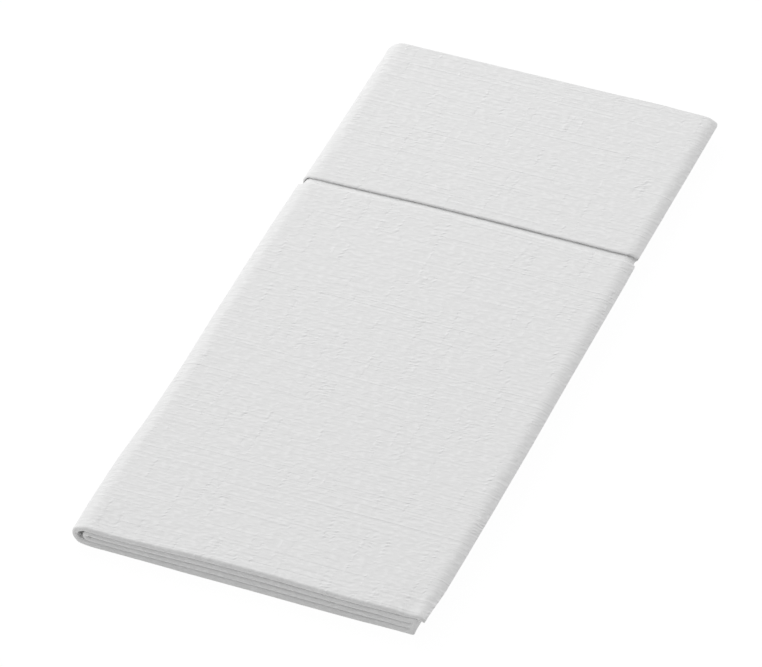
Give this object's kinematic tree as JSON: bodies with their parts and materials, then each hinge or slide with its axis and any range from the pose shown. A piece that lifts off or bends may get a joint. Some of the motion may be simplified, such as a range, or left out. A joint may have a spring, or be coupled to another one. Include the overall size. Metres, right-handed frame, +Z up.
{
  "type": "paper napkin",
  "caption": "White linen-embossed paper napkin, folded into a flat cutlery pocket with a short flap above its rim.",
  "frame": {"origin": "middle of the folded napkin's box, on the table under it", "axes": "+X towards the free edge of the top panel, +Y from the closed near end towards the flap's far end, +Z up out of the pocket's front"},
  "size_m": [0.1014, 0.2286, 0.0073],
  "materials": {
    "linen_paper": "matte, soft airlaid paper with a fine linen emboss"
  },
  "bodies": {
    "root": {"folded_napkin": "linen_paper"}
  },
  "joints": []
}
